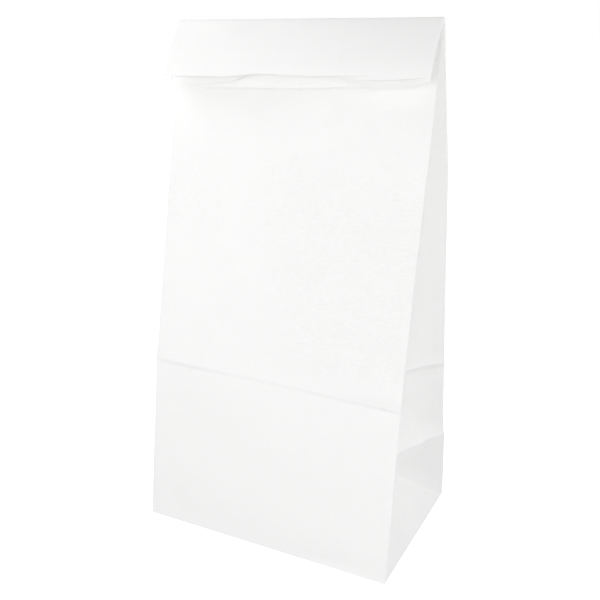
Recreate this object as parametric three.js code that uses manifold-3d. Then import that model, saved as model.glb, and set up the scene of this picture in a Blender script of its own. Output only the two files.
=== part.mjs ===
// A white paper grocery bag with a flat bottom and pleated sides, standing shut, its top folded over once
// towards the front.
//
// Millimetres, +Z up. The origin is the centre of the base. The broad panels face -Y (front) and +Y (back),
// and the gussets face -X and +X.
//
// The bag is one folded sheet and nobody can look into it, so it is one closed solid: its side outline, with
// the folded-over flap, spans the whole width, and a gusset is cut into each side as far as the paper of
// that gusset reaches when it is folded in.

import * as THREE from "three";
import { mergeVertices } from "three/addons/utils/BufferGeometryUtils.js";
import Module from "manifold-3d";

// Flat sizes of the sheet: a broad panel is WIDTH across, and a gusset is DEPTH across, half to each side
// of its centre crease.
const WIDTH = 160;
const DEPTH = 106;
const GUSSET_HALF = DEPTH / 2;

// Where the standing bag is creased, in the side view.
const RIDGE = { y: 2, z: 300 };
const FRONT_CREASE = { y: -38.7, z: 101 };
const BACK_CREASE = { y: 39.1, z: 99 };
const BACK_KINK = { y: 23.7, z: 220.6 };

// The folded-over top. Its two leaves part towards the mouth: the back panel is outermost, and the front
// panel lies nearest to the body. Angles are forward of straight down, in degrees.
const OUTER_LEAF = { length: 36, angle: 31, bow: 4 };
const INNER_LEAF = { length: 38, angle: 19.5, sag: 2.7 };

// Layers of paper pressed together, as thick as the solid makes them.
const RIDGE_RADIUS = 1.2;
const RIDGE_BACK_ANGLE = 15;
const LEAF_THICKNESS = 0.9;
const EDGE_THICKNESS = 0.8;

// A gusset ends this far below the ridge, where its layers lie flat on one another. The space that it
// leaves is cut from this far outside the bag.
const GUSSET_TOP_GAP = 9;
const CUT_MARGIN = 10;

const RIDGE_STEPS = 6;
const WIDTH_STEPS = 24;
const GUSSET_STEPS = 4;

const PAPER_COLOUR = 0xf4f4f3;
const PAPER_ROUGHNESS = 0.85;

// ---------------------------------------------------------------------------------------------------------
// Side view: every point is { y, z }

// The point at a distance from the ridge, on a line that hangs at an angle forward of straight down.
function belowRidge(distance, angle) {
  const radians = THREE.MathUtils.degToRad(angle);
  return { y: RIDGE.y - distance * Math.sin(radians), z: RIDGE.z - distance * Math.cos(radians) };
}

// The point at a distance from another one, square to such a line and towards the back of the bag.
function behind(point, angle, distance) {
  const radians = THREE.MathUtils.degToRad(angle);
  return { y: point.y + distance * Math.cos(radians), z: point.z - distance * Math.sin(radians) };
}

// The rounded ridge, from the back panel over to the outer leaf.
function ridgeArc(leafAngle) {
  const centre = { y: RIDGE.y, z: RIDGE.z - RIDGE_RADIUS };
  const start = THREE.MathUtils.degToRad(RIDGE_BACK_ANGLE);
  const end = THREE.MathUtils.degToRad(180 - leafAngle);
  return Array.from({ length: RIDGE_STEPS + 1 }, (_, i) => {
    const turn = start + (end - start) * i / RIDGE_STEPS;
    return { y: centre.y + RIDGE_RADIUS * Math.cos(turn), z: centre.z + RIDGE_RADIUS * Math.sin(turn) };
  });
}

const FRONT_PANEL = [{ y: -DEPTH / 2, z: 0 }, FRONT_CREASE, { y: RIDGE.y, z: RIDGE.z - 2 * RIDGE_RADIUS }];
const BACK_PANEL = [{ y: DEPTH / 2, z: 0 }, BACK_CREASE, BACK_KINK, ridgeArc(OUTER_LEAF.angle)[0]];

// The point at a height on a panel, which runs straight from one crease to the next.
function panelPoint(panel, height) {
  const upper = panel.findIndex((crease, i) => i > 0 && height <= crease.z);
  const below = panel[upper - 1];
  const above = panel[upper];
  const share = (height - below.z) / (above.z - below.z);
  return { y: below.y + (above.y - below.y) * share, z: height };
}

// The outline at a distance x from the middle: up the back, over the ridge, down the outer leaf, into the
// mouth and out again, up under the inner leaf, and down the front. Towards the middle of the bag the outer
// leaf bows forward and the inner leaf's edge sags.
function sideOutline(x) {
  const middle = Math.cos(Math.PI * x / WIDTH);
  const outerAngle = OUTER_LEAF.angle + OUTER_LEAF.bow * middle ** 2;
  const outerLip = belowRidge(OUTER_LEAF.length, outerAngle);
  const innerLip = belowRidge(INNER_LEAF.length + INNER_LEAF.sag * middle, INNER_LEAF.angle);
  const halfParting = (outerAngle - INNER_LEAF.angle) / 2;
  const mouthDepth = LEAF_THICKNESS / Math.sin(THREE.MathUtils.degToRad(halfParting));
  return [
    ...BACK_PANEL.slice(0, -1),
    ...ridgeArc(outerAngle),
    outerLip,
    behind(outerLip, outerAngle, LEAF_THICKNESS),
    belowRidge(mouthDepth, INNER_LEAF.angle + halfParting),
    behind(innerLip, INNER_LEAF.angle, -LEAF_THICKNESS),
    innerLip,
    ...FRONT_PANEL.toReversed(),
  ];
}

// ---------------------------------------------------------------------------------------------------------
// Closed solids from rings of corners

// Joins each ring to the next one, and closes both ends with the cap's triangles. Seen from the last ring,
// every ring runs anticlockwise. Rings may share a corner, which leaves no triangle there.
function closedLoft(rings, cap) {
  const count = rings[0].length;
  const corners = rings.flat();
  const triangles = [];
  for (let start = 0; start < corners.length - count; start += count) {
    for (let i = 0; i < count; i += 1) {
      const here = start + i;
      const next = start + (i + 1) % count;
      triangles.push([here, next, next + count], [here, next + count, here + count]);
    }
  }
  const last = corners.length - count;
  cap.forEach(([a, b, c]) => triangles.push([a, c, b], [last + a, last + b, last + c]));
  const whole = triangles.filter(([a, b, c]) => (
    !corners[a].equals(corners[b]) && !corners[b].equals(corners[c]) && !corners[c].equals(corners[a])
  ));
  const geometry = new THREE.BufferGeometry();
  geometry.setAttribute("position", new THREE.Float32BufferAttribute(corners.flatMap((c) => c.toArray()), 3));
  geometry.setIndex(whole.flat());
  return geometry;
}

// The bag before its gussets are folded in: side outlines, one behind another across the width.
function fullBody() {
  const rings = Array.from({ length: WIDTH_STEPS + 1 }, (_, station) => {
    const x = WIDTH * (station / WIDTH_STEPS - 0.5);
    return sideOutline(x).map((point) => new THREE.Vector3(x, point.y, point.z));
  });
  const end = sideOutline(WIDTH / 2).map((point) => new THREE.Vector2(point.y, point.z));
  return closedLoft(rings, THREE.ShapeUtils.triangulateShape(end, []));
}

// The tip of the triangle that a folded-in gusset makes with the base. It is half a gusset's width away
// from the middle of the base's side edge, and as far from the point that high on each panel's edge.
function gussetTip() {
  const panel = panelPoint(BACK_PANEL, GUSSET_HALF);
  const height = (panel.y ** 2 + panel.z ** 2) / (2 * panel.z);
  const inward = Math.sqrt(GUSSET_HALF ** 2 - height ** 2);
  return new THREE.Vector3(WIDTH / 2 - inward, 0, height);
}

// The heights at which the gusset is worked out: its panels' creases, and even steps between them.
function gussetHeights() {
  const creases = [GUSSET_HALF, FRONT_CREASE.z, BACK_KINK.z, RIDGE.z - GUSSET_TOP_GAP];
  const steps = creases.slice(1).flatMap((above, i) => (
    Array.from({ length: GUSSET_STEPS }, (_, step) => (
      THREE.MathUtils.lerp(creases[i], above, (step + 1) / GUSSET_STEPS)
    ))
  ));
  return [GUSSET_HALF, ...steps];
}

// The space that the right gusset leaves in the side of the bag, and straight out past it. The folded
// bottom pulls the centre crease down by the same drop all the way up.
function gussetSpace() {
  const tip = gussetTip();
  const drop = GUSSET_HALF - tip.z;
  const ringAt = (height, centre) => {
    const front = panelPoint(FRONT_PANEL, height).y + EDGE_THICKNESS;
    const back = panelPoint(BACK_PANEL, height).y - EDGE_THICKNESS;
    const inward = Math.sqrt(Math.max(0, GUSSET_HALF ** 2 - ((back - front) / 2) ** 2 - drop ** 2));
    return [
      new THREE.Vector3(WIDTH / 2, front, height),
      new THREE.Vector3(WIDTH / 2 + CUT_MARGIN, front, height),
      new THREE.Vector3(WIDTH / 2 + CUT_MARGIN, back, height),
      new THREE.Vector3(WIDTH / 2, back, height),
      centre ?? new THREE.Vector3(WIDTH / 2 - inward, (front + back) / 2, height - drop),
    ];
  };
  const [firstHeight, ...heights] = gussetHeights();
  const rings = [ringAt(0, tip), ringAt(firstHeight, tip), ...heights.map((height) => ringAt(height))];
  return closedLoft(rings, [[0, 1, 2], [0, 2, 3], [0, 3, 4]]);
}

// ---------------------------------------------------------------------------------------------------------
// Cutting one solid out of another

const manifold = await Module();
manifold.setup();

function toSolid(geometry) {
  const merged = mergeVertices(geometry);
  return new manifold.Manifold(new manifold.Mesh({
    numProp: 3,
    vertProperties: merged.attributes.position.array,
    triVerts: new Uint32Array(merged.index.array),
  }));
}

function toGeometry(solid) {
  const { vertProperties, triVerts } = solid.getMesh();
  const geometry = new THREE.BufferGeometry();
  geometry.setAttribute("position", new THREE.Float32BufferAttribute(vertProperties, 3));
  geometry.setIndex(new THREE.Uint32BufferAttribute(triVerts, 1));
  geometry.computeVertexNormals();
  return geometry;
}

// The same shape on the other side of the bag, its triangles turned so that they still face out.
function mirrored(geometry) {
  const copy = geometry.clone().applyMatrix4(new THREE.Matrix4().makeScale(-1, 1, 1));
  copy.index.array.reverse();
  return copy;
}

function withGussets(body, space) {
  const left = toSolid(mirrored(space));
  const right = toSolid(space);
  return toGeometry(toSolid(body).subtract(left).subtract(right));
}

// ---------------------------------------------------------------------------------------------------------
// The bag

const paper = new THREE.MeshStandardMaterial({
  color: PAPER_COLOUR,
  roughness: PAPER_ROUGHNESS,
  metalness: 0,
});

const bag = new THREE.Mesh(withGussets(fullBody(), gussetSpace()), paper);
bag.name = "bag";

const model = new THREE.Group();
model.add(bag);

export default model;
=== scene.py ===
import bmesh
import bpy
import numpy as np
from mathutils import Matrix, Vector


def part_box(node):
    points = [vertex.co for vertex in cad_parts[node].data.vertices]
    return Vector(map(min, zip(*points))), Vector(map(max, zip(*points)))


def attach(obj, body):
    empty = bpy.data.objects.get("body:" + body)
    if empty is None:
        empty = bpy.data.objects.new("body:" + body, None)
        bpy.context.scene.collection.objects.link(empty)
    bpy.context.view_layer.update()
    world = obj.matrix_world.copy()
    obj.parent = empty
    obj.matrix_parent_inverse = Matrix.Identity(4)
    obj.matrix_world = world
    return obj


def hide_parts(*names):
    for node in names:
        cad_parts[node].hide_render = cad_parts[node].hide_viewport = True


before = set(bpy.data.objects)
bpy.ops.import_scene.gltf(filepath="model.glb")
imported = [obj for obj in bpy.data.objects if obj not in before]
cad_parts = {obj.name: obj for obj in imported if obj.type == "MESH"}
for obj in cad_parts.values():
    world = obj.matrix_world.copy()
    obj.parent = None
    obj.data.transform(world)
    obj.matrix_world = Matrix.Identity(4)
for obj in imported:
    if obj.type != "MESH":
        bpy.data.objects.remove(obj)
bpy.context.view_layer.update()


# ---------------------------------------------------------------------------------------------------------
# The bag
# One web of bleached kraft paper, glued into a tube by a lap seam down its back and creased into two broad
# panels and two pleated sides. The foot of the tube is folded flat and glued as a block bottom. The mouth is
# folded over once, so four layers of paper hang in front: back panel, both halves of a pleat, front panel.

# Everything about the paper is in millimetres until its mesh is made.
METRE = 1000
box_low, box_high = (METRE * np.array(corner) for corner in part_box("bag"))
WIDTH, DEPTH, HEIGHT = box_high - box_low
PLEAT = DEPTH / 2
PAPER = 0.14
# From the middle of one layer to the middle of the next, where they are pressed together.
PRESSED = 0.3
# Pressed flat, the back panel is this many layers out from the front panel, and the pleats are between them.
BACK_LAYER = 3


def ramp(value, start=0, stop=1):
    """Rises from 0 at start to 1 at stop, gently at both ends."""
    share = np.clip((value - start) / (stop - start), 0, 1)
    return share * share * (3 - 2 * share)


def fade(distance, reach):
    """Falls evenly from 1 at no distance to 0 at this reach."""
    return np.clip(1 - np.abs(distance) / reach, 0, 1)


def between(a, b, share):
    return a + (b - a) * share


def joined(x, yz):
    return np.concatenate([x[..., None], yz], axis=-1)


# Seen from the side, in (y, z), each panel leans in from the base, is creased about 100 up, and ends at the
# ridge, the fold that the top is turned over at. The front panel passes closest to the ridge's centre.
PANEL_HEIGHT = 305.0
RIDGE_RADIUS = 0.25
RIDGE_CENTRE = np.array([2.0, HEIGHT - RIDGE_RADIUS - BACK_LAYER * PRESSED])
# Where the front and the back panel run into the ridge, as angles up from straight back of its centre.
RIDGE_START = np.radians([-11.6, 15.3])
FRONT_CREASE = (-38.7, 101.0)
BACK_CREASE = (39.1, 99.0)
BACK_KINK = (23.7, 220.6)


def round_ridge(layers, turn):
    """A place round the ridge, this many layers out, and turned this far up from straight back."""
    radius = RIDGE_RADIUS + PRESSED * layers
    return RIDGE_CENTRE + np.stack([radius * np.cos(turn), radius * np.sin(turn)], axis=-1)


def panel_line(*corners):
    """Where a panel is at a height up its paper, which runs straight from corner to corner."""
    corners = np.array(corners)
    lengths = np.append(0, np.cumsum(np.hypot(*np.diff(corners, axis=0).T)))
    heights = lengths * PANEL_HEIGHT / lengths[-1]
    return lambda up: np.stack([np.interp(up, heights, corners[:, k]) for k in (0, 1)], axis=-1)


front_line = panel_line((-DEPTH / 2, 0), FRONT_CREASE, round_ridge(0, RIDGE_START[0]))
back_line = panel_line((DEPTH / 2, 0), BACK_CREASE, BACK_KINK, round_ridge(BACK_LAYER, RIDGE_START[1]))

# Folding the foot flat makes each pleat stand, from the base's side edge, as a triangle with its tip inside
# the bag. It pulls the pleat's inner fold down, by as much all the way up to where the pleat closes.
TRIANGLE = 47.6
PLEAT_CLOSING = (250, 300)
half_gap, tip_level = back_line(TRIANGLE)
PULLED_DOWN = (PLEAT**2 - half_gap**2 + tip_level**2 - TRIANGLE**2) / (2 * tip_level)
TIP = np.array([np.sqrt(PLEAT**2 - half_gap**2 - PULLED_DOWN**2), 0, tip_level - PULLED_DOWN])
FLAT_REACH = np.sqrt(PLEAT**2 - PULLED_DOWN**2)
INNER_FOLD = WIDTH / 2 - FLAT_REACH

# The columns of the mesh run up the paper, and go round the tube from the front panel's left edge. Each has
#   reach   its x, or on a pleat the x that the pleat starts from
#   side    -1 on the left pleat, 1 on the right one
#   fold    how far into the pleat it is, from 0 at the side edge to 1 at the inner fold
#   depth   how far back it is, from 0 on the front panel to 1 on the back panel
#   layer   how many layers it stands behind that place
EDGE = WIDTH / 2 - PRESSED / 2
PLEAT_STEPS = np.append(np.arange(18) / 20, [0.89, 0.925, 0.95, 0.97, 0.985, 1])
# The lap seam runs up the back panel: its glued edge is here, and the edge beneath it is SEAM further on.
SEAM_EDGE = INNER_FOLD + 0.15
SEAM = 12.0


def panel_columns(depth):
    even = np.linspace(-EDGE, EDGE, 43)
    by_fold = INNER_FOLD + np.array([-3, -1.6, -0.8, -0.3, 0, 0.3, 0.8, 1.6, 3])
    by_edge = EDGE - np.array([0.35, 0.9, 2.0])
    by_seam = SEAM_EDGE + SEAM + np.array([-0.8, 0, 0.8]) * depth
    x = np.unique(np.concatenate([even, by_fold, -by_fold, by_edge, -by_edge, by_seam]).round(3))
    return np.array([x, 0 * x, 0 * x, 0 * x + depth, 0 * x])


def right_pleat_columns():
    """From the front panel round the side edge, in to the inner fold, round it, and back out."""
    turn = np.radians([45, 90, 135])
    none = 0 * turn
    fold = PLEAT_STEPS
    edge = [EDGE + PRESSED / 2 * np.sin(turn), none + 1, none, none, (1 - np.cos(turn)) / 2]
    half = [0 * fold + EDGE, 0 * fold + 1, fold, fold / 2, 1 - 1.5 * fold]
    inner = [EDGE - PRESSED / 2 * np.sin(turn), none + 1, none + 1, none + 0.5, -np.cos(turn) / 2]
    front = np.hstack([edge, half])
    back = front[:, ::-1] * [[1], [1], [1], [-1], [-1]] + [[0], [0], [0], [1], [0]]
    return np.hstack([front, inner, back])


right_pleat = right_pleat_columns()
left_pleat = right_pleat[:, ::-1] * [[-1], [-1], [1], [1], [1]]
columns = np.hstack([panel_columns(0), right_pleat, panel_columns(1)[:, ::-1], left_pleat])
reach, side, fold, depth, layer = columns
on_pleat = side != 0
# At a pleat's inner fold only the layer tells the front half from the back half.
in_front = depth + layer / 1000 < 0.5
end = np.where(in_front, -1, 1)

# The rows of the mesh run round the tube, never as close together as a hair. On the pleats they bend to
# follow the crest of the crumple above each triangle, listed here from the side edge to the inner fold.
HAIR = 0.01
CREST = 51.0
CREST_TOP = 58.5
CREST_LINE = (
    [0, 0.05, 0.1, 0.15, 0.2, 0.25, 0.3, 0.35, 0.4, 0.5, 0.6, 0.75, 1],
    [48.0, 49.0, 49.9, 50.7, 51.5, 52.1, 52.7, 52.4, 51.8, 52.7, 53.4, 52.7, 51.0],
)

# About 100 up, the rows bend to follow the crease that runs round the bag there, and those within CREASE_BEND
# of it bend a little with it. It is higher at the front's left end than at its right, and lower on the back.
CREASE = 102.0
CREASE_BEND = 35
FRONT_CREASE_UP = ([-10, 45], [103.7, 102.5])
BACK_CREASE_UP = 101.0
PLEAT_CREASE_UP = 103.6
crease_height = between(np.interp(reach, *FRONT_CREASE_UP), BACK_CREASE_UP, depth)
into_pleat = ramp(0.27 + 2.3 * fold)
crease_height = np.where(on_pleat, between(crease_height, PLEAT_CREASE_UP, into_pleat), crease_height)

# The triangles' own rows start above this one, and the highest of them passes through the tips.
BELOW_TRIANGLES = 1.7
body_rows = np.concatenate([
    [0.1, 0.8, BELOW_TRIANGLES],
    TRIANGLE * PLEAT_STEPS[1:],
    [49.2, 50.3, CREST, 51.4, 52.3, 53.8, 56, CREST_TOP],
    np.arange(61, 95, 3.0),
    CREASE + np.array([-5.5, -4.2, -3.2, -2.4, -1.6, -0.8, 0, 0.9, 2, 3.4, 5, 7, 9.2]),
    np.arange(113.6, 216, 3.1),
    [217.5, 219.6, 221.4, 223.4],
    np.arange(226, 296, 3.1),
    [298.2, 300.3, 302.1, 303.7, PANEL_HEIGHT],
])


def paper_height(up):
    """How high up its paper a row crosses each column."""
    crest = np.interp(fold, *CREST_LINE)
    below = between(TRIANGLE, crest, (up - TRIANGLE) / (CREST - TRIANGLE))
    above = between(crest, CREST_TOP, (up - CREST) / (CREST_TOP - CREST))
    bent = np.where(up < CREST, below, above)
    along_crease = up + (crease_height - CREASE) * fade(up - CREASE, CREASE_BEND)
    return np.where(on_pleat & (up > TRIANGLE) & (up < CREST_TOP), bent, along_crease)


def standing(up):
    """Where the paper of the standing body is, at a height up each column."""
    front = front_line(up)
    back = back_line(up)
    gap = np.linalg.norm(back - front, axis=-1)
    pulled_in = np.sqrt(np.maximum(PLEAT**2 - gap**2 / 4 - PULLED_DOWN**2, 0))
    behind = PRESSED * layer / gap + depth
    yz = between(front, back, behind[..., None])
    yz[..., 1] -= PULLED_DOWN * fold * (1 - ramp(up, *PLEAT_CLOSING))
    upright = joined(reach - side * fold * (pulled_in - PRESSED), yz)

    corner = np.stack([side * EDGE, end * DEPTH / 2, 0 * reach], axis=-1)
    foot = corner * [1, 0, 0]
    tip = foot + np.stack([-side * TIP[0], 0 * side, 0 * side + TIP[2]], axis=-1)
    own_line = np.where(in_front[:, None], front_line(TRIANGLE), back_line(TRIANGLE))
    panel_edge = joined(reach, own_line)
    rise = (up / TRIANGLE)[..., None]
    along = fold[:, None]
    in_triangle = between(corner, foot, along) + rise * (tip - foot)
    over_triangle = corner + (rise - along) * (panel_edge - corner) + along * (tip - corner)
    low = np.where(rise < along, in_triangle, over_triangle)
    low[..., 1] += PRESSED * layer
    low[..., 0] += (reach - side * EDGE) * ramp(between(1, rise[..., 0], fold))
    return np.where(((up < TRIANGLE + HAIR) & on_pleat)[..., None], low, upright)


# The block bottom's flaps. The front and back flaps narrow at 45 degrees, overlap at the middle and are
# glued there, the back flap outside. The pleats' feet lie above them as triangles that point inwards.
FLAP = 65.0
BASE_ROWS = np.concatenate([[FLAP, 61, 57, 54, 52.9], np.arange(49, 6, -4.6), [4, 2.4, 1.2, 0.5, 0.15]])
FRONT_FLAP_LEVEL = 0.40
BACK_FLAP_LEVEL = 0.08
TUCK_RISE = 0.3


def underneath(inward):
    """Where the paper of the block bottom is, at a distance in from the base's edge."""
    shrink = np.maximum(1 - inward / PLEAT, 0)
    x = reach * (1 - 2 * inward / WIDTH)
    y = end * (1 - fold) * (DEPTH / 2 - inward) + PRESSED * layer * shrink
    level = between(FRONT_FLAP_LEVEL, BACK_FLAP_LEVEL, depth)
    level = between(BACK_FLAP_LEVEL, level, ramp(inward, 0, 8))
    tuck = TUCK_RISE * ramp(fold * (PLEAT - inward), 0, 0.8) * ramp(inward, 0.5, 3.5)
    return np.stack([x, y, level + tuck], axis=-1)


# The folded-over top. Each lip hangs this far below the ridge, at this angle forward of straight down, and
# curls back by so much on the way. The lips are listed from the bag's left side to its right.
OUTER_LIP = (
    [-80, -55, -42, -34, -22, -14, -6, 3, 12, 23, 31, 39, 47, 59, 68, 75, 80],
    [35.6, 35.2, 35.6, 35.3, 33.2, 32.8, 32.9, 33.5, 33.6, 33.5, 33.2, 33.0, 33.1, 32.8, 32.6, 32.5, 32.7],
)
OUTER_ANGLE = ([-80, 0, 80], [31.5, 33.0, 33.0])
OUTER_CURL = ([-80, 80], [11.0, 12.0])
INNER_LIP = (
    [-80, -77, -70, -55, -35, -20, 0, 12, 22, 30, 38, 46, 58, 66, 73, 80],
    [36.4, 37.4, 38.4, 38.0, 37.6, 37.1, 36.9, 36.7, 35.8, 35.4, 35.4, 35.8, 36.3, 36.7, 36.0, 34.3],
)
INNER_ANGLE = ([-80, -60, 35, 60, 80], [20.5, 19.8, 19.8, 25.5, 32.0])
INNER_CURL = ([-80, 80], [2.0, 8.0])
# The lips of the pleats' halves, from the side edge to the inner fold.
LEFT_FRONT_LIP = (
    [0, 0.29, 0.48, 0.67, 0.8, 0.9, 0.965, 1],
    [36.4, 36.5, 36.4, 36.3, 35.7, 34.7, 33.4, 31.7],
)
RIGHT_FRONT_LIP = (
    [0, 0.06, 0.15, 0.29, 0.45, 0.65, 0.8, 0.9, 0.96, 1],
    [34.3, 34.5, 34.8, 35.1, 34.9, 34.9, 34.5, 33.8, 32.9, 31.9],
)
RIGHT_BACK_LIP = (
    [0, 0.1, 0.2, 0.35, 0.5, 0.6, 0.75, 0.9, 0.97, 1],
    [32.7, 33.3, 34.0, 34.7, 35.2, 35.2, 34.8, 34.2, 33.2, 31.9],
)
# A pleat's halves hang close to the leaf that each is folded from, and meet at the inner fold, this share of
# the way out from the inner leaf to the outer one.
LEFT_MEETING = 0.55
RIGHT_MEETING = 0.75
LIP_ROWS = np.append(np.arange(1, 17) / 17, [0.97, 0.99, 1])
RIDGE_ROWS = np.arange(1, 9) / 8


def eased(x, listed, rounding=6):
    """A listed value at x, rounded this far to each side of where its line bends."""
    spread = np.linspace(-rounding, rounding, 2 * rounding + 1)
    weights = np.cos(spread * np.pi / 2 / (rounding + 1)) ** 2
    values = [np.interp(x + step, *listed) for step in spread]
    return np.average(values, axis=0, weights=weights)


flat_x = reach - side * fold * (FLAT_REACH - PRESSED)
meeting = np.where(side > 0, RIGHT_MEETING, LEFT_MEETING)
half_out = np.where(in_front, meeting * fold**1.5, 1 - (1 - meeting) * fold**3)
leaf_out = np.where(on_pleat, half_out, depth)
leaf_curl = np.radians(between(eased(flat_x, INNER_CURL), eased(flat_x, OUTER_CURL), leaf_out))
leaf_angle = np.radians(between(eased(flat_x, INNER_ANGLE), eased(flat_x, OUTER_ANGLE), leaf_out))
leaf_start = leaf_angle + leaf_curl / 2

panel_x = np.where(on_pleat, side * WIDTH / 2, flat_x)
inner_lip = eased(panel_x, INNER_LIP)
outer_lip = eased(panel_x, OUTER_LIP)
front_half_lip = np.where(side < 0, np.interp(fold, *LEFT_FRONT_LIP), np.interp(fold, *RIGHT_FRONT_LIP))
fold_lip = np.where(side < 0, LEFT_FRONT_LIP[1][-1], RIGHT_FRONT_LIP[1][-1])
lip = np.where(in_front, inner_lip, between(outer_lip, fold_lip, ramp(fold)))
lip = np.where(in_front & on_pleat, front_half_lip, lip)
lip = np.where(~in_front & (side > 0), np.interp(fold, *RIGHT_BACK_LIP), lip)

layers_out = layer + BACK_LAYER * depth
ridge_start = between(*RIDGE_START, layers_out / BACK_LAYER)
ridge_end = np.pi - leaf_start


def over_ridge(share):
    """Where the paper is, at this share of its way over the ridge."""
    return joined(flat_x + 0 * share, round_ridge(layers_out, between(ridge_start, ridge_end, share)))


def hanging(share):
    """Where the paper of the folded-over top is, at this share of its way from the ridge to its lip."""
    begin = round_ridge(layers_out, ridge_end)
    bend = leaf_curl / lip
    angle = leaf_start - bend * lip * share
    forward = (np.cos(angle) - np.cos(leaf_start)) / bend
    down = (np.sin(leaf_start) - np.sin(angle)) / bend
    return joined(flat_x + 0 * share, begin + np.stack([-forward, -down], axis=-1))


body_up = paper_height(body_rows[:, None] + 0 * reach)
sheet = np.concatenate([
    underneath(BASE_ROWS[:, None]),
    standing(body_up),
    over_ridge(RIDGE_ROWS[:, None]),
    hanging(LIP_ROWS[:, None]),
])
first_body_row = len(BASE_ROWS)
first_lip_row = first_body_row + len(body_rows) + len(RIDGE_ROWS)

# Every point's height up its own paper, which is below 0 underneath, and its place round the tube.
lip_distance = lip * LIP_ROWS[:, None]
ridge_length = (RIDGE_RADIUS + PRESSED * layers_out) * (ridge_end - ridge_start)
paper_up = np.concatenate([
    -BASE_ROWS[:, None] + 0 * reach,
    body_up,
    PANEL_HEIGHT + ridge_length * RIDGE_ROWS[:, None],
    PANEL_HEIGHT + ridge_length + lip_distance,
])
# The columns keep their distances all the way up the body, so one of its rows gives them.
MEASURED_ROW = first_body_row + 70
steps_round = np.linalg.norm(sheet[MEASURED_ROW] - np.roll(sheet[MEASURED_ROW], 1, axis=0), axis=1)
paper_round = np.cumsum(steps_round) - steps_round[0]


# Creases, the crumple and the waves of handled paper stand out of the folded sheet.
def outward(points):
    across = np.roll(points, -1, axis=1) - np.roll(points, 1, axis=1)
    upward = np.gradient(points, axis=0)
    normal = np.cross(across, upward)
    return normal / np.maximum(np.linalg.norm(normal, axis=-1, keepdims=True), 1e-9)


def waves(across, upward, size, seed, count=9):
    """Uneven waves in the paper, about 1 high and about as long as the given size."""
    random = np.random.default_rng(seed)
    total = 0
    for _ in range(count):
        angle = random.uniform(0, np.pi)
        length = size * random.uniform(0.6, 1.7)
        shift = random.uniform(0, 2 * np.pi)
        total = total + np.sin(2 * np.pi * (across * np.cos(angle) + upward * np.sin(angle)) / length + shift)
    return total / np.sqrt(count)


def opened_crease(above, height, lower, upper):
    """A crease that was folded hard and opened again: a low ridge, steep on its lower side."""
    return height * np.where(above < 0, fade(above, lower), fade(above, upper) ** 2)


up = paper_up[first_body_row:]
x_there = flat_x + 0 * up
on_flap = up > PANEL_HEIGHT
from_side = np.where(on_pleat, fold * PLEAT, EDGE - np.abs(reach))

# The crease round the bag stands out least in the middle of the front and back, and most at their right end.
PANEL_CREASE_OUT = ([-80, -60, -45, -20, 20, 50, 65, 72, 80], [0.8, 1.4, 1.3, 0.7, 0.75, 1.3, 1.7, 2.7, 3.2])
PLEAT_CREASE_OUT = 1.3
above_crease = up - crease_height
crease = np.where(
    on_pleat,
    opened_crease(above_crease, PLEAT_CREASE_OUT, 3.0, 9.0),
    opened_crease(above_crease, np.interp(x_there, *PANEL_CREASE_OUT), 2.4, 9.0),
)
relief = crease * between(0.3, 1, ramp(from_side, 0, 5))

# Above each triangle the pleat is crumpled: it stands out along a crest, and from there a flat facet slopes
# down to the triangle. The front half is crumpled less, and not at all by the side edge.
CREST_OUT = ([0, 0.1, 0.2, 0.31, 0.45, 0.6, 0.75, 0.9, 1], [0.7, 1.5, 2.1, 2.7, 3.5, 3.8, 3.2, 1.7, 0.5])
CREST_SLOPES_FOR = ([0, 0.35, 0.55], [9, 13, 28])
CREST_ROLL = ([0, 0.3], [0.12, 0.25])
crest = np.interp(fold, *CREST_LINE)
crumpled = on_pleat * np.where(in_front, 0.6 * ramp(fold, 0.25, 0.65), 1)
facet_below = fade(crest - up, np.maximum(crest - TRIANGLE * fold, 0.5))
slope_above = fade(up - crest, np.interp(fold, *CREST_SLOPES_FOR)) ** 1.7
crumple = np.interp(fold, *CREST_OUT) * np.where(up < crest, facet_below, slope_above)
rolled = opened_crease(up - crest, np.interp(fold, *CREST_ROLL), 1.3, 6)
relief = relief + crumpled * (crumple + rolled)

# Each triangle is dented, with a faint crease up the dent's bottom, a little to the front of its middle.
DENT = 1.9
DENT_REACH = 16
FAINT_CREASE = 0.3
off_middle = np.interp(up, [0, 25], [1, 4]) * end
across_dent = (1 - fold) * PLEAT * fade(up, TRIANGLE) + off_middle
dented = on_pleat * ramp(TRIANGLE * fold - up, 0, 6) * ramp(up, 0.5, 5.5) * ramp(up, 43, 29)
dent = DENT * fade(across_dent, DENT_REACH) - FAINT_CREASE * np.exp(-(across_dent / 1.4) ** 2)
relief = relief - dented * dent

# Handled paper waves, each panel and each pleat in its own way, but less by the folds that hold it flat.
PANEL_WAVE = 0.4
PLEAT_WAVE = 0.35
from_edge = WIDTH / 2 - np.abs(x_there)
loose = ramp(up, 0, 12) * ramp(PANEL_HEIGHT - up, 8, 53) * np.where(on_pleat, ramp(up - crest, 8, 33), 1)
relief = relief + loose * np.where(
    on_pleat,
    PLEAT_WAVE * ramp(fold, 0, 0.25) * waves(fold * PLEAT + 300 * side, up, 55, 3),
    PANEL_WAVE * between(0.25, 1, ramp(from_edge, 0, 25)) * waves(x_there + 500 * depth, up, 90, 5),
)

# The pleats' inner folds press through the panels near the top, more sharply at the right.
off_ridge = ramp(np.abs(up - PANEL_HEIGHT - 1), 1, 9)
softness = between(5.0, 1.6, ramp(x_there, -10, 10))
pressed_in = ramp((INNER_FOLD - np.abs(x_there)) / softness, -0.5, 0.5)
pressing = between(0.14 * ramp(up, 243, 278), 0.25, ramp(up - PANEL_HEIGHT, 10, 30))
covered = on_pleat | (on_flap & (depth < 1))
relief = relief - np.where(covered, 0, off_ridge * pressing * pressed_in)

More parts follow.
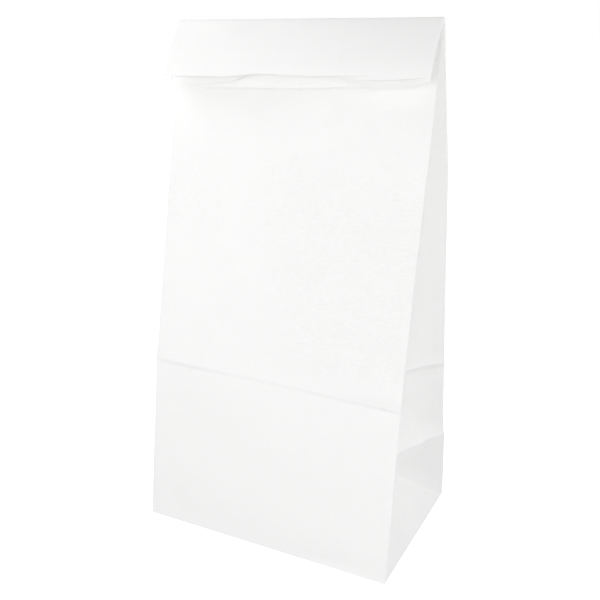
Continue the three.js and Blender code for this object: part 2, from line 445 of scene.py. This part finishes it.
# The lap seam is two sheets thick, and shows less on the folded-over top.
SEAM_SLOPE = 0.8
from_seam_middle = np.abs(x_there - SEAM_EDGE - SEAM / 2)
seam = ramp(from_seam_middle, SEAM / 2 + SEAM_SLOPE, SEAM / 2 - SEAM_SLOPE)
seam = seam * between(1, 0.35, on_flap) * off_ridge * ramp(up, 0.5, 3.5)
relief = relief + np.where(on_pleat | (depth < 1), 0, PAPER * seam)

# The hem along each foot flares a little, and most of all towards the front's right corner.
flare = between(0.15, 0.55, ramp(x_there, 15, 45) * (1 - depth)) * ~on_pleat
relief = relief - flare * np.interp(up, [0, 2.8, 5, 14], [0, 1, 0.8, 0])

# A triangle is flat right across, even where the paper is folded round above it.
triangle_out = np.stack([side * TIP[2], 0 * side, 0 * side + TIP[0]], axis=-1) / TRIANGLE
in_triangle = (on_pleat & (up < TRIANGLE * fold))[..., None]
above_foot = slice(first_body_row, None)
sheet[above_foot] += np.where(in_triangle, triangle_out, outward(sheet)[above_foot]) * relief[..., None]

# The hanging layers wave together, and each lip turns in a little more.
down_leaf = LIP_ROWS[:, None]
waving = 0.25 * waves(flat_x, lip_distance, 60, 11) * ramp(down_leaf, 0, 1 / 3)
lip_turn = np.where(in_front, 0.5, between(0.2, 0.5, ramp(flat_x, -60, 60))) * ramp(1 - fold, 0, 1 / 6)
turned_in = lip_turn * fade(1 - down_leaf, 0.2) ** 2
facing = np.stack([0 * down_leaf - np.cos(leaf_angle), 0 * down_leaf + np.sin(leaf_angle)], axis=-1)
sheet[first_lip_row:, :, 1:] += facing * (waving - turned_in)[..., None]

# How much whiter the paper is painted: along every fold for rubbing and a highlight, at each foot's right end
# for a highlight.
rubbed_and_lit_folds = fade(from_side, 0.8) * between(0.1, 0.9, on_flap)
painted_foot_highlight = 0.5 * fade(up - 0.3, 1.6) * ramp(x_there, 20, 60) * ~on_pleat
wear_and_highlight = np.maximum(rubbed_and_lit_folds, painted_foot_highlight)

# How crinkled it is by handling: most in a band down the front's right and a patch by its left edge.
by_right = ramp(x_there + (up - 170) / 4, -25, 15) * ramp(up, 105, 120) * ramp(up, 250, 190)
by_left = ramp(x_there, -30, -42) * ramp(up, 178, 192) * ramp(up, 232, 218)
on_panels = between(0.65 * by_right + 0.35 * by_left, 0.2 * by_right + 0.5 * by_left, depth)
crinkled = 0.15 + 0.1 * ramp(up, 100, 105) - 0.08 * on_flap + np.where(on_pleat, 0.05, on_panels)


# The paper's faces, and then its thickness. Most faces have four sides. In the triangles' rows those of the
# pleats have three, so that they follow a triangle's upper edges.
def sheet_faces():
    rows, count = paper_up.shape
    faces = []
    for row in range(rows - 1):
        for column in range(count):
            after = (column + 1) % count
            pleated = on_pleat[column] or on_pleat[after]
            if pleated and paper_up[row, column] < -PLEAT:
                continue
            a, b = row * count + column, row * count + after
            c, d = b + count, a + count
            height = paper_up[row + 1, column]
            if pleated and BELOW_TRIANGLES < height < TRIANGLE + HAIR:
                inwards = fold[after] > fold[column]
                faces += [(a, b, c), (a, c, d)] if inwards else [(a, b, d), (b, c, d)]
            else:
                faces.append((a, b, c, d))
    return faces


def vertex_normals(points, faces):
    normals = np.zeros_like(points)
    triangles = np.array([(f[0], f[k], f[k + 1]) for f in faces for k in range(1, len(f) - 1)])
    a, b, c = points[triangles[:, 0]], points[triangles[:, 1]], points[triangles[:, 2]]
    area = np.cross(b - a, c - a)
    for k in range(3):
        np.add.at(normals, triangles[:, k], area)
    return normals / np.maximum(np.linalg.norm(normals, axis=1, keepdims=True), 1e-12)


def thickened(points, faces):
    """Both sides of the paper and its cut edges, as one closed shell."""
    count = len(points)
    normals = vertex_normals(points, faces)
    both = np.concatenate([points + PAPER / 2 * normals, points - PAPER / 2 * normals])
    inside = [tuple(count + v for v in reversed(face)) for face in faces]
    edges = {}
    for face in faces:
        for a, b in zip(face, face[1:] + face[:1]):
            edges[(a, b)] = edges.get((b, a), 0) + 1
    rim = [(b, a, a + count, b + count) for (a, b) in edges if (b, a) not in edges]
    return both, faces + inside + rim


points = sheet.reshape(-1, 3)
shell_points, shell_faces = thickened(points, sheet_faces())

mesh = bpy.data.meshes.new("paper_bag")
mesh.from_pydata((shell_points / METRE).tolist(), [], shell_faces)
mesh.update()
mesh.polygons.foreach_set("use_smooth", [True] * len(mesh.polygons))
mesh.set_sharp_from_angle(angle=np.radians(62))

# The crumple's crest and the upper edges of the triangles are sharp creases.
row_up = np.append(-BASE_ROWS, body_rows)[:, None] + 0 * reach
creased = on_pleat & (np.abs(row_up - TRIANGLE * fold) < HAIR) & (row_up > BELOW_TRIANGLES)
creased = np.where(np.abs(row_up - CREST) < HAIR, on_pleat & (fold < 1), creased)
creased = np.append(creased.ravel(), np.zeros(len(points) - creased.size, bool))
ends = np.zeros(2 * len(mesh.edges), int)
mesh.edges.foreach_get("vertices", ends)
sharp = np.zeros(len(mesh.edges), bool)
mesh.attributes["sharp_edge"].data.foreach_get("value", sharp)
sharp |= creased[ends.reshape(-1, 2) % len(points)].all(axis=1)
mesh.attributes["sharp_edge"].data.foreach_set("value", sharp)

# The flat web's own coordinates, in metres round the tube and up it.
corners = np.array([corner for face in shell_faces for corner in face]) % len(points)
face_of = np.repeat(np.arange(len(shell_faces)), [len(face) for face in shell_faces])
column_of = corners % len(reach)
closing = np.zeros(len(shell_faces), bool)
closing[face_of[column_of == len(reach) - 1]] = True
flat_round = paper_round[column_of] + np.where(closing[face_of] & (column_of == 0), steps_round.sum(), 0)
flat_web = np.stack([flat_round, paper_up.ravel()[corners]], axis=-1) / METRE
mesh.uv_layers.new(name="web").uv.foreach_set("vector", flat_web.ravel())

# A painted highlight runs along the foot's edge underneath as well.
painted_highlight_below = 0.3 * fade(BASE_ROWS[:, None], 1.5) * ~on_pleat
crinkled_below = 0 * painted_highlight_below + 0.2
for name, below, above in (("wear_and_highlight", painted_highlight_below, wear_and_highlight), ("crinkled", crinkled_below, crinkled)):
    values = np.concatenate([below, above]).ravel()
    mesh.attributes.new(name, "FLOAT", "POINT").data.foreach_set("value", np.tile(values, 2))

bag = bpy.data.objects.new("paper_bag", mesh)
bpy.context.scene.collection.objects.link(bag)

# Bleached kraft: cloudy where its fibres are uneven, finely grained, finely wrinkled across where handled,
# with the wrinkles' shade painted in too; painted whiter for rubbing and a highlight along its folds, and for
# a highlight at its feet.
THIN_WHITE = (0.911, 0.911, 0.907, 1)
DENSE_WHITE = (0.929, 0.929, 0.924, 1)
# Rubbed folds and painted highlights are this white.
RUBBED_AND_LIT_WHITE = (0.955, 0.955, 0.95, 1)
kraft = bpy.data.materials.new("bleached_kraft")
kraft.use_nodes = True
nodes = kraft.node_tree.nodes
shader = nodes["Principled BSDF"]


def wired(kind, inputs=(), **settings):
    """A new node: each input is a number, a colour or another node's output."""
    node = nodes.new(kind)
    for setting, value in settings.items():
        setattr(node, setting, value)
    for socket, value in inputs:
        if isinstance(value, bpy.types.NodeSocket):
            kraft.node_tree.links.new(value, node.inputs[socket])
        else:
            node.inputs[socket].default_value = value
    return node


def noise(across, upward, detail):
    """Noise with patches about this many millimetres across and upward."""
    scale = (METRE / across, METRE / upward, 1)
    placed = wired("ShaderNodeMapping", [("Vector", web.outputs["UV"]), ("Scale", scale)])
    made = wired("ShaderNodeTexNoise", [("Vector", placed.outputs[0]), ("Scale", 1), ("Detail", detail)])
    return made.outputs["Fac"]


def scaled(value, low, high, from_low=0.3, from_high=0.7):
    ends = [("From Min", from_low), ("From Max", from_high), ("To Min", low), ("To Max", high)]
    return wired("ShaderNodeMapRange", [("Value", value), *ends]).outputs["Result"]


def combined(operation, first, second):
    return wired("ShaderNodeMath", [(0, first), (1, second)], operation=operation).outputs[0]


web = wired("ShaderNodeUVMap", uv_map="web")
wear_and_highlight_here = wired("ShaderNodeAttribute", attribute_name="wear_and_highlight").outputs["Fac"]
crinkled_here = wired("ShaderNodeAttribute", attribute_name="crinkled").outputs["Fac"]
clouds = noise(17, 13, 3)
flecks = noise(1.3, 1.1, 2)
wrinkles = noise(3.4, 1.15, 3)

# The wrinkles' light and shade is painted into the colour too, as streaks where the paper is crinkled.
painted_wrinkle_shade = combined("MULTIPLY", combined("SUBTRACT", wrinkles, 0.5), combined("MULTIPLY", crinkled_here, 1.3))
formation_and_wrinkle_shade = wired("ShaderNodeValToRGB", [("Fac", combined("ADD", scaled(clouds, 0.44, 0.56), painted_wrinkle_shade))])
thin, dense = formation_and_wrinkle_shade.color_ramp.elements
thin.position = 0.38
thin.color = THIN_WHITE
dense.position = 0.62
dense.color = DENSE_WHITE
# Painted whiter where rubbed and where highlights are painted, along the folds and at the feet.
rubbed_and_highlighted = combined("MULTIPLY", wear_and_highlight_here, scaled(flecks, 0.55, 1.0))
# A Mix node's two colours are its inputs 6 and 7, and they come out mixed at its output 2.
mixing = [("Factor", rubbed_and_highlighted), (6, formation_and_wrinkle_shade.outputs["Color"]), (7, RUBBED_AND_LIT_WHITE)]
tint = wired("ShaderNodeMix", mixing, data_type="RGBA")
kraft.node_tree.links.new(tint.outputs[2], shader.inputs["Base Color"])
kraft.node_tree.links.new(scaled(clouds, 0.74, 0.62), shader.inputs["Roughness"])
grain = combined("ADD", combined("MULTIPLY", wrinkles, crinkled_here), combined("MULTIPLY", flecks, 0.15))
surface = wired("ShaderNodeBump", [("Height", grain), ("Distance", 0.0005), ("Strength", 1)])
kraft.node_tree.links.new(surface.outputs[0], shader.inputs["Normal"])
mesh.materials.append(kraft)

# The pleats' feet stop short of the flaps' ends, and leave points there that no face uses.
shell = bmesh.new()
shell.from_mesh(mesh)
bmesh.ops.delete(shell, geom=[point for point in shell.verts if not point.link_faces], context="VERTS")
shell.to_mesh(mesh)
shell.free()

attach(bag, "root")
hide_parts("bag")


# ---------------------------------------------------------------------------------------------------------
# The floor
# A seamless white table top. It glows, so that it stays white all over, and it takes no part in lighting the
# bag.
FLOOR_REACH = 30.0
floor_mesh = bpy.data.meshes.new("table_top")
floor_corners = [(x * FLOOR_REACH, y * FLOOR_REACH, 0) for x, y in ((-1, -1), (1, -1), (1, 1), (-1, 1))]
floor_mesh.from_pydata(floor_corners, [], [(0, 1, 2, 3)])
floor = bpy.data.objects.new("table_top", floor_mesh)
bpy.context.scene.collection.objects.link(floor)
floor_paint = bpy.data.materials.new("table_white")
floor_paint.use_nodes = True
floor_shader = floor_paint.node_tree.nodes["Principled BSDF"]
floor_shader.inputs["Base Color"].default_value = (0.9, 0.9, 0.9, 1)
floor_shader.inputs["Roughness"].default_value = 0.9
floor_shader.inputs["Emission Color"].default_value = (1, 1, 1, 1)
floor_shader.inputs["Emission Strength"].default_value = 1.0
floor_paint.cycles.emission_sampling = "NONE"
floor_mesh.materials.append(floor_paint)
floor.visible_diffuse = False
floor.visible_glossy = False
floor.visible_shadow = False


# ---------------------------------------------------------------------------------------------------------
# Light and camera
# A light tent: its walls are white at the horizon, its ceiling is dim, and the table sends back some light.
# Softboxes stand round it, the main one to the front's right.

# The tent's greys, by height from 0, straight down, to 1, straight up.
TENT = [(0.44, 0.4), (0.48, 1.0), (0.535, 1.0), (0.575, 0.2)]
world = bpy.data.worlds.new("light_tent")
world.use_nodes = True
tent = world.node_tree
direction = tent.nodes.new("ShaderNodeTexCoord")
split = tent.nodes.new("ShaderNodeSeparateXYZ")
tent_height = tent.nodes.new("ShaderNodeMapRange")
tent_height.inputs["From Min"].default_value = -1
greys = tent.nodes.new("ShaderNodeValToRGB")
tent.links.new(direction.outputs["Generated"], split.inputs[0])
tent.links.new(split.outputs["Z"], tent_height.inputs["Value"])
tent.links.new(tent_height.outputs["Result"], greys.inputs["Fac"])
tent.links.new(greys.outputs["Color"], tent.nodes["Background"].inputs["Color"])
while len(greys.color_ramp.elements) < len(TENT):
    greys.color_ramp.elements.new(0.5)
for element, (place, grey) in zip(greys.color_ramp.elements, TENT):
    element.position = place
    element.color = (grey, grey, grey, 1)
bpy.context.scene.world = world


def softbox(name, azimuth, elevation, distance, size, power):
    """A square light facing the bag. Azimuth 0 is in front of it, and 90 to its right."""
    light = bpy.data.lights.new(name, "AREA")
    light.shape = "SQUARE"
    light.size = size
    light.energy = power
    turn, lift = np.radians([azimuth, elevation])
    target = Vector((0, 0, HEIGHT / 2 / METRE))
    away = Vector((np.sin(turn) * np.cos(lift), -np.cos(turn) * np.cos(lift), np.sin(lift)))
    holder = bpy.data.objects.new(name, light)
    holder.location = target + distance * away
    holder.rotation_euler = away.to_track_quat("Z", "Y").to_euler()
    bpy.context.scene.collection.objects.link(holder)


softbox("main", 30, 8, 1.1, 0.5, 3.54)
softbox("over_front", 0, 35, 1.1, 0.5, 0.86)
softbox("front", 0, 4.8, 0.602, 0.25, 0.38)
softbox("front_left", -31, 9.5, 0.592, 0.25, 0.4)
softbox("over_left", -71.6, 49.5, 0.487, 0.25, 0.56)
softbox("low_left", -30, -15, 1.1, 0.5, 0.28)
softbox("low_right", 60, -15, 1.1, 0.5, 1.67)
softbox("back_right", 120, 35, 1.1, 0.5, 3.62)
softbox("back", 150, 35, 1.1, 0.5, 1.44)
softbox("back_left", -120, 62, 1.1, 0.5, 0.4)

CAMERA_PLACE = (0.20785, -0.40898, 0.29030)
TURN, TILT = np.radians([26.94, 18.14])
camera_data = bpy.data.cameras.new("camera")
camera_data.sensor_width = 36
camera_data.lens = 48.07
camera = bpy.data.objects.new("camera", camera_data)
camera.location = CAMERA_PLACE
camera.rotation_euler = (np.pi / 2 - TILT, 0, TURN)
bpy.context.scene.collection.objects.link(camera)
bpy.context.scene.camera = camera
bpy.context.scene.view_settings.view_transform = "Standard"
# White paper passes light between its layers many times.
bpy.context.scene.cycles.max_bounces = 16
bpy.context.scene.cycles.diffuse_bounces = 14
